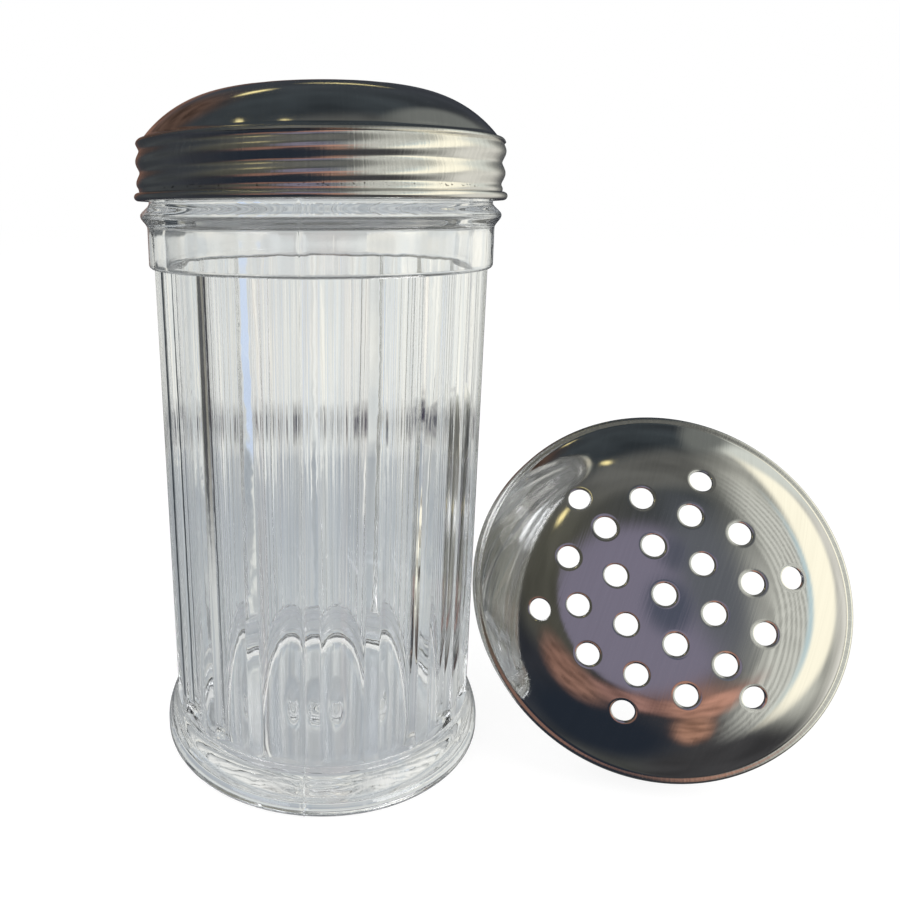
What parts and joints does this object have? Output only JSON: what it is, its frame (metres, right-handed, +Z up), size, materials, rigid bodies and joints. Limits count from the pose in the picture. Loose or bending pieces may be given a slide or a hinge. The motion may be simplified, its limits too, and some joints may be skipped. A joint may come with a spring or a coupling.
{
  "type": "table spice shaker",
  "caption": "Fluted clear jar with a flared foot and a domed, perforated steel screw lid that lifts off, and a spare perforated lid set down beside it.",
  "frame": {"origin": "on the jar's axis, in the plane of the foot ring that the jar stands on", "axes": "+Z up along the jar's axis, -Y to the front, +X to the right, towards the spare lid"},
  "size_m": [0.1473, 0.076, 0.1418],
  "materials": {
    "clear_plastic": "clear moulded plastic, glossy, faint cool tint, fine mould seam front and back",
    "lid_steel": "bright polished stainless sheet with fine upright polishing lines on the skirt",
    "spare_lid_steel": "bright polished stainless sheet, nearly mirror-like on the dome"
  },
  "bodies": {
    "jar": {"jar": "clear_plastic"},
    "screw_lid": {"screw_lid": "lid_steel"},
    "spare_lid": {"spare_lid": "spare_lid_steel"}
  },
  "joints": [
    {"name": "lid_lift", "type": "slide", "parent": "jar", "child": "screw_lid", "axis": [0, 0, 1], "range_m": [0, 0.04]},
    {"name": "spare_lid_lift", "type": "slide", "parent": "jar", "child": "spare_lid", "axis": [0.1, -0.1, 0.9899], "range_m": [0, 0.06]}
  ]
}
